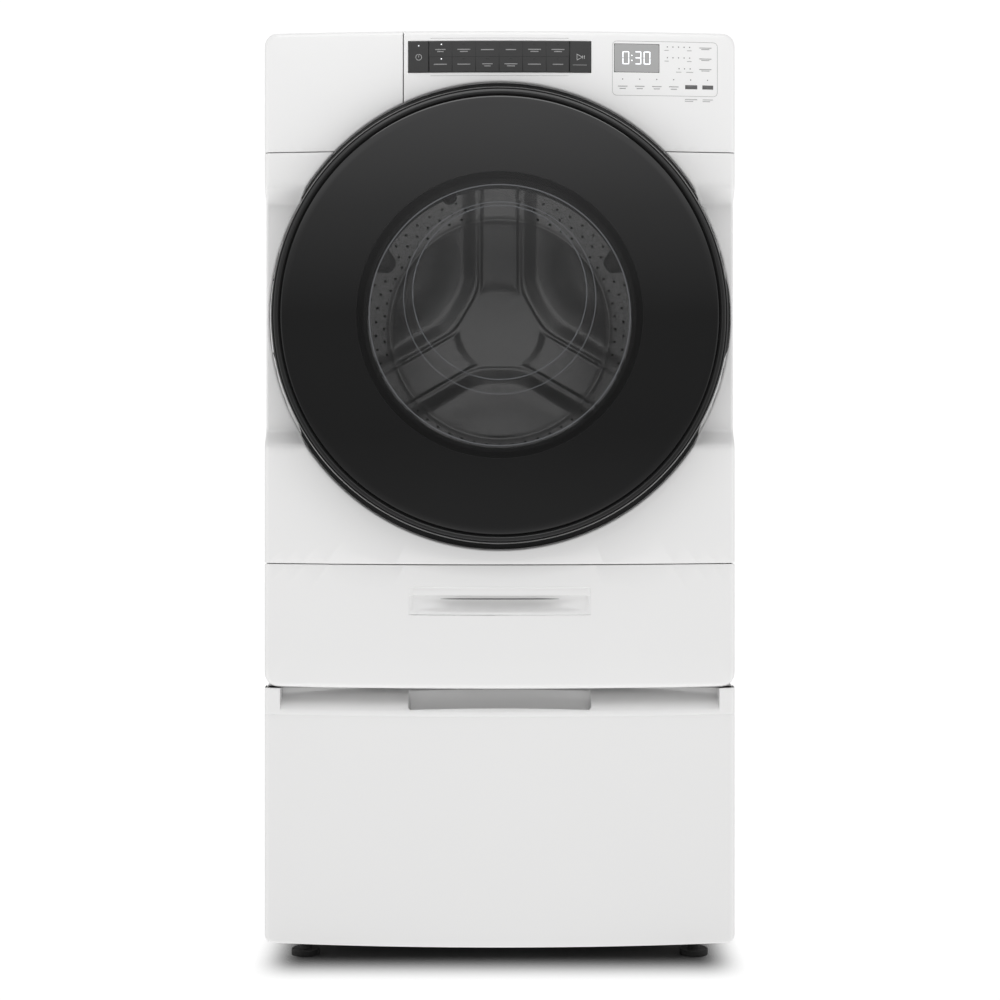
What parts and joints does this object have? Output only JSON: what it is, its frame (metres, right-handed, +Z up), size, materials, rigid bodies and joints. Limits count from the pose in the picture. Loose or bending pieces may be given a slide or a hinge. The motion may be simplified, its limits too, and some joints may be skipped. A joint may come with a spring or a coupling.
{
  "type": "front load washing machine",
  "caption": "Front load washing machine with a round tinted door, key strip and display, detergent drawer, and a matching storage pedestal with a full width drawer.",
  "frame": {"origin": "middle of the footprint on the floor under the feet", "axes": "+Z up, front towards -Y, +X to the right when facing the front"},
  "size_m": [0.686, 0.792, 1.362],
  "materials": {
    "white_paint": "satin white enamel",
    "white_plastic": "smooth white moulding",
    "grey_plastic": "fine matt moulding",
    "black_plastic": "fine matt moulding",
    "black_gloss": "high gloss black",
    "tinted_face": "smoke tinted gloss cover",
    "clear_bowl": "clear pressed glass",
    "grey_rubber": "soft matt grey",
    "black_rubber": "hard matt black",
    "stainless": "brushed",
    "galvanised": "zinc coated, spangled",
    "cast_aluminium": "as cast",
    "spring_steel": "oiled dark steel",
    "concrete": "cast concrete",
    "board_green": "solder mask"
  },
  "bodies": {
    "cabinet": {"base_pan": "galvanised", "console_panel": "white_plastic", "control_board": "board_green", "cord_gland": "black_plastic", "cycle_pad_strip": "black_gloss", "damper_cylinder_left": "black_plastic", "damper_cylinder_right": "black_plastic", "dispenser_housing": "grey_plastic", "display_window": "grey_plastic", "door_gasket": "grey_rubber", "door_lock": "black_plastic", "door_surround": "black_plastic", "drain_filter_cap": "black_plastic", "drain_pump": "grey_plastic", "front_panel": "white_paint", "hinge_bracket": "galvanised", "left_side_panel": "white_paint", "pedestal_foot_1": "black_rubber", "pedestal_foot_2": "black_rubber", "pedestal_foot_3": "black_rubber", "pedestal_foot_4": "black_rubber", "pedestal_frame": "white_paint", "rear_access_cover": "galvanised", "rear_panel": "galvanised", "right_side_panel": "white_paint", "slide_outer_left": "galvanised", "slide_outer_right": "galvanised", "top_panel": "white_paint", "water_inlet_valve": "white_plastic"},
    "tub": {"tub_front": "grey_plastic", "tub_rear": "grey_plastic", "counterweight": "concrete", "heater": "stainless", "drum_bearing": "spring_steel", "motor_stator": "cast_aluminium", "suspension_spring_left": "spring_steel", "suspension_spring_right": "spring_steel", "damper_rod_left": "spring_steel", "damper_rod_right": "spring_steel"},
    "spinner": {"drum": "stainless", "drum_spider": "cast_aluminium", "motor_rotor": "galvanised", "lifter_1": "grey_plastic", "lifter_2": "grey_plastic", "lifter_3": "grey_plastic"},
    "door": {"door_rim": "black_gloss", "door_face": "tinted_face", "door_inner_frame": "black_plastic", "door_bowl": "clear_bowl", "door_hinge_arm": "cast_aluminium", "door_latch_hook": "stainless"},
    "dispenser_drawer": {"dispenser_front": "white_plastic", "dispenser_tray": "grey_plastic"},
    "power_button": {"power_key": "black_gloss"},
    "start_button": {"start_key": "black_gloss"},
    "service_panel": {"lower_front_panel": "white_paint"},
    "slide_middles": {"slide_middle_left": "galvanised", "slide_middle_right": "galvanised"},
    "pedestal_drawer": {"pedestal_drawer_box": "galvanised", "pedestal_drawer_front": "white_paint"}
  },
  "joints": [
    {"name": "door_hinge", "type": "hinge", "parent": "cabinet", "child": "door", "pos_m": [-0.32, -0.309, 0.949], "axis": [0, 0, -1], "range_deg": [0, 120]},
    {"name": "dispenser_slide", "type": "slide", "parent": "cabinet", "child": "dispenser_drawer", "axis": [0, -1, 0], "range_m": [0, 0.26]},
    {"name": "pedestal_drawer_slide", "type": "slide", "parent": "cabinet", "child": "pedestal_drawer", "axis": [0, -1, 0], "range_m": [0, 0.46]},
    {"name": "slide_middle_travel", "type": "slide", "parent": "cabinet", "child": "slide_middles", "axis": [0, -1, 0], "range_m": [0, 0.23]},
    {"name": "service_panel_hinge", "type": "hinge", "parent": "cabinet", "child": "service_panel", "pos_m": [0, -0.327, 0.412], "axis": [1, 0, 0], "range_deg": [0, 60]},
    {"name": "power_key_press", "type": "slide", "parent": "cabinet", "child": "power_button", "axis": [0, 1, 0], "range_m": [0, 0.0012], "stiffness_N_per_m": 700, "springref_m": -0.001},
    {"name": "start_key_press", "type": "slide", "parent": "cabinet", "child": "start_button", "axis": [0, 1, 0], "range_m": [0, 0.0012], "stiffness_N_per_m": 700, "springref_m": -0.001},
    {"name": "tub_bounce", "type": "slide", "parent": "cabinet", "child": "tub", "axis": [0, 0, 1], "range_m": [-0.006, 0.006], "stiffness_N_per_m": 60000, "springref_m": 0.0081, "deforming": ["suspension_spring_left", "suspension_spring_right"]},
    {"name": "drum_spin", "type": "hinge", "parent": "tub", "child": "spinner", "pos_m": [0, 0.038, 0.949], "axis": [0, 1, 0], "continuous": true}
  ],
  "couplings": [
    {"joint": "slide_middle_travel", "follows": "pedestal_drawer_slide", "ratio": 0.5}
  ]
}
